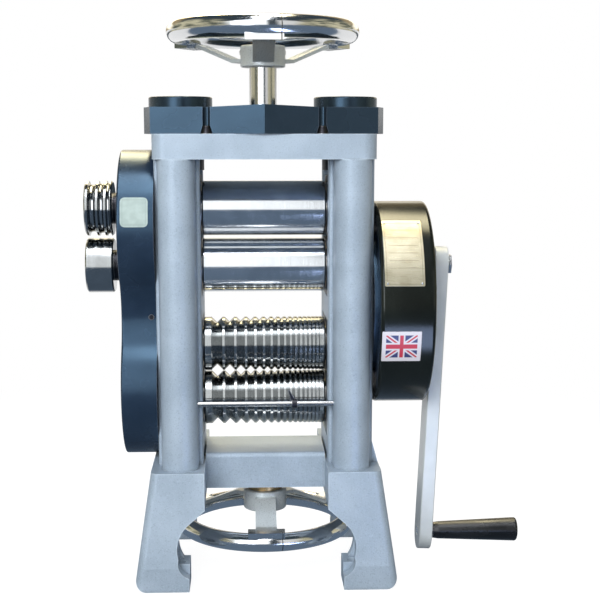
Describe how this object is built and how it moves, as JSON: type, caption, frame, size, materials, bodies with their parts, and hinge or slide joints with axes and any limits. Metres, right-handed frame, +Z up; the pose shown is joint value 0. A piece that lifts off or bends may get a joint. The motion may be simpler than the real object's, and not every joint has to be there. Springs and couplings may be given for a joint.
{
  "type": "combination rolling mill",
  "caption": "Hand-cranked combination rolling mill for sheet and wire, with geared crank, handwheel-set roll gaps and side extension rolls.",
  "frame": {"origin": "centre of the four bench bolt holes on the plane of the feet's undersides", "axes": "+Z up, +X along the rolls towards the crank, +Y away from the person who feeds the mill"},
  "size_m": [0.4875, 0.23, 0.6032],
  "materials": {
    "casting_paint": "satin",
    "black_paint": "satin",
    "crank_paint": "satin",
    "ground_steel": "satin",
    "dark_steel": "satin",
    "chrome": "polished",
    "gear_steel": "satin",
    "bearing_iron": "satin",
    "bronze": "satin",
    "grip_plastic": "gloss"
  },
  "bodies": {
    "frame": {"right_base_leg": "casting_paint", "left_base_leg": "casting_paint", "crosspiece": "casting_paint", "lower_gear_cover": "gear_steel", "right_side_frame": "casting_paint", "left_side_frame": "casting_paint", "crosshead": "casting_paint", "top_gear_housing": "black_paint", "screw_caps": "black_paint", "screw_nuts": "dark_steel", "lower_flat_chocks": "bearing_iron", "upper_wire_chocks": "bearing_iron", "fixed_bushes": "bronze", "wheel_bushes": "bronze", "left_gear_cover": "black_paint", "gear_back_plate": "gear_steel", "gearbox_drum": "black_paint", "gearbox_back_wall": "black_paint", "guide_rod": "chrome", "case_screws": "dark_steel"},
    "upper_bearings": {"upper_flat_chocks": "bearing_iron", "upper_flat_bushes": "bronze", "upper_bearing_cap": "black_paint", "screw_retainers": "dark_steel"},
    "upper_flat_roll_set": {"upper_flat_roll": "ground_steel", "upper_flat_gear": "gear_steel", "upper_extension_spacer": "dark_steel", "upper_extension_roll": "ground_steel"},
    "right_upper_screw": {"right_upper_screw": "gear_steel"},
    "left_upper_screw": {"left_upper_screw": "gear_steel"},
    "lower_flat_roll_set": {"lower_flat_roll": "ground_steel", "lower_flat_gear": "gear_steel", "flat_link_gear": "gear_steel", "lower_extension_spacer": "dark_steel", "lower_extension_roll": "ground_steel", "roll_drive_gear": "gear_steel"},
    "upper_wire_roll_set": {"upper_wire_roll": "ground_steel", "upper_wire_gear": "gear_steel", "wire_link_gear": "gear_steel"},
    "lower_bearings": {"lower_wire_chocks": "bearing_iron", "lower_wire_bushes": "bronze", "lower_bearing_cap": "black_paint"},
    "lower_wire_roll_set": {"lower_wire_roll": "ground_steel", "lower_wire_gear": "gear_steel"},
    "right_lower_screw": {"right_lower_screw": "gear_steel"},
    "left_lower_screw": {"left_lower_screw": "gear_steel"},
    "right_idler": {"right_idler_gear": "gear_steel"},
    "left_idler": {"left_idler_gear": "gear_steel"},
    "layshaft_set": {"layshaft": "gear_steel", "layshaft_gear": "gear_steel"},
    "crank": {"crank_shaft": "gear_steel", "crank_arm": "crank_paint", "crank_nut": "chrome", "grip_pin": "chrome"},
    "grip": {"crank_grip": "grip_plastic"},
    "top_wheel": {"top_handwheel": "chrome", "top_wheel_shaft": "gear_steel"},
    "bottom_wheel": {"bottom_handwheel": "chrome", "bottom_wheel_shaft": "gear_steel"},
    "finger": {"guide_finger": "dark_steel"}
  },
  "joints": [
    {"name": "crank_turn", "type": "hinge", "parent": "frame", "child": "crank", "pos_m": [0.15, 0, 0.34], "axis": [1, 0, 0], "continuous": true},
    {"name": "grip_spin", "type": "hinge", "parent": "crank", "child": "grip", "pos_m": [0.25, 0, 0.0295], "axis": [1, 0, 0], "continuous": true},
    {"name": "layshaft_turn", "type": "hinge", "parent": "frame", "child": "layshaft_set", "pos_m": [0.15, 0, 0.254], "axis": [1, 0, 0], "continuous": true},
    {"name": "lower_flat_turn", "type": "hinge", "parent": "frame", "child": "lower_flat_roll_set", "pos_m": [0, 0, 0.34], "axis": [1, 0, 0], "continuous": true},
    {"name": "upper_bearing_lift", "type": "slide", "parent": "frame", "child": "upper_bearings", "axis": [0, 0, 1], "range_m": [-0.0028, 0.0032]},
    {"name": "upper_flat_turn", "type": "hinge", "parent": "upper_bearings", "child": "upper_flat_roll_set", "pos_m": [0, 0, 0.4028], "axis": [1, 0, 0], "continuous": true},
    {"name": "upper_wire_turn", "type": "hinge", "parent": "frame", "child": "upper_wire_roll_set", "pos_m": [0, 0, 0.2514], "axis": [1, 0, 0], "continuous": true},
    {"name": "lower_bearing_lift", "type": "slide", "parent": "frame", "child": "lower_bearings", "axis": [0, 0, 1], "range_m": [-0.0046, 0.0014]},
    {"name": "lower_wire_turn", "type": "hinge", "parent": "lower_bearings", "child": "lower_wire_roll_set", "pos_m": [0, 0, 0.19], "axis": [1, 0, 0], "continuous": true},
    {"name": "top_wheel_turn", "type": "hinge", "parent": "frame", "child": "top_wheel", "pos_m": [0, 0, 0.496], "axis": [0, 0, 1], "range_deg": [-300, 345]},
    {"name": "right_upper_screw_turn", "type": "hinge", "parent": "upper_bearings", "child": "right_upper_screw", "pos_m": [0.09, 0, 0.466], "axis": [0, 0, 1], "range_deg": [-770, 670]},
    {"name": "left_upper_screw_turn", "type": "hinge", "parent": "upper_bearings", "child": "left_upper_screw", "pos_m": [-0.09, 0, 0.466], "axis": [0, 0, 1], "range_deg": [-770, 670]},
    {"name": "bottom_wheel_turn", "type": "hinge", "parent": "frame", "child": "bottom_wheel", "pos_m": [0, 0, 0.086], "axis": [0, 0, 1], "range_deg": [-1100, 330]},
    {"name": "right_idler_turn", "type": "hinge", "parent": "frame", "child": "right_idler", "pos_m": [0.045, 0, 0.116], "axis": [0, 0, 1], "range_deg": [-335, 1105]},
    {"name": "left_idler_turn", "type": "hinge", "parent": "frame", "child": "left_idler", "pos_m": [-0.045, 0, 0.116], "axis": [0, 0, 1], "range_deg": [-335, 1105]},
    {"name": "right_lower_screw_turn", "type": "hinge", "parent": "lower_bearings", "child": "right_lower_screw", "pos_m": [0.09, 0, 0.136], "axis": [0, 0, 1], "range_deg": [-1105, 335]},
    {"name": "left_lower_screw_turn", "type": "hinge", "parent": "lower_bearings", "child": "left_lower_screw", "pos_m": [-0.09, 0, 0.136], "axis": [0, 0, 1], "range_deg": [-1105, 335]},
    {"name": "finger_slide", "type": "slide", "parent": "frame", "child": "finger", "axis": [1, 0, 0], "range_m": [-0.096, 0.038]}
  ],
  "couplings": [
    {"joint": "layshaft_turn", "follows": "crank_turn", "ratio": -0.46667},
    {"joint": "lower_flat_turn", "follows": "crank_turn", "ratio": 0.21778},
    {"joint": "upper_flat_turn", "follows": "crank_turn", "ratio": -0.21778},
    {"joint": "upper_wire_turn", "follows": "crank_turn", "ratio": -0.21778},
    {"joint": "lower_wire_turn", "follows": "crank_turn", "ratio": 0.21778},
    {"joint": "upper_bearing_lift", "follows": "top_wheel_turn", "m_per_rad": 0.00052862},
    {"joint": "right_upper_screw_turn", "follows": "top_wheel_turn", "ratio": -2.2143},
    {"joint": "left_upper_screw_turn", "follows": "top_wheel_turn", "ratio": -2.2143},
    {"joint": "lower_bearing_lift", "follows": "bottom_wheel_turn", "m_per_rad": 0.00023873},
    {"joint": "right_idler_turn", "follows": "bottom_wheel_turn", "ratio": -1},
    {"joint": "left_idler_turn", "follows": "bottom_wheel_turn", "ratio": -1},
    {"joint": "right_lower_screw_turn", "follows": "bottom_wheel_turn", "ratio": 1},
    {"joint": "left_lower_screw_turn", "follows": "bottom_wheel_turn", "ratio": 1}
  ]
}
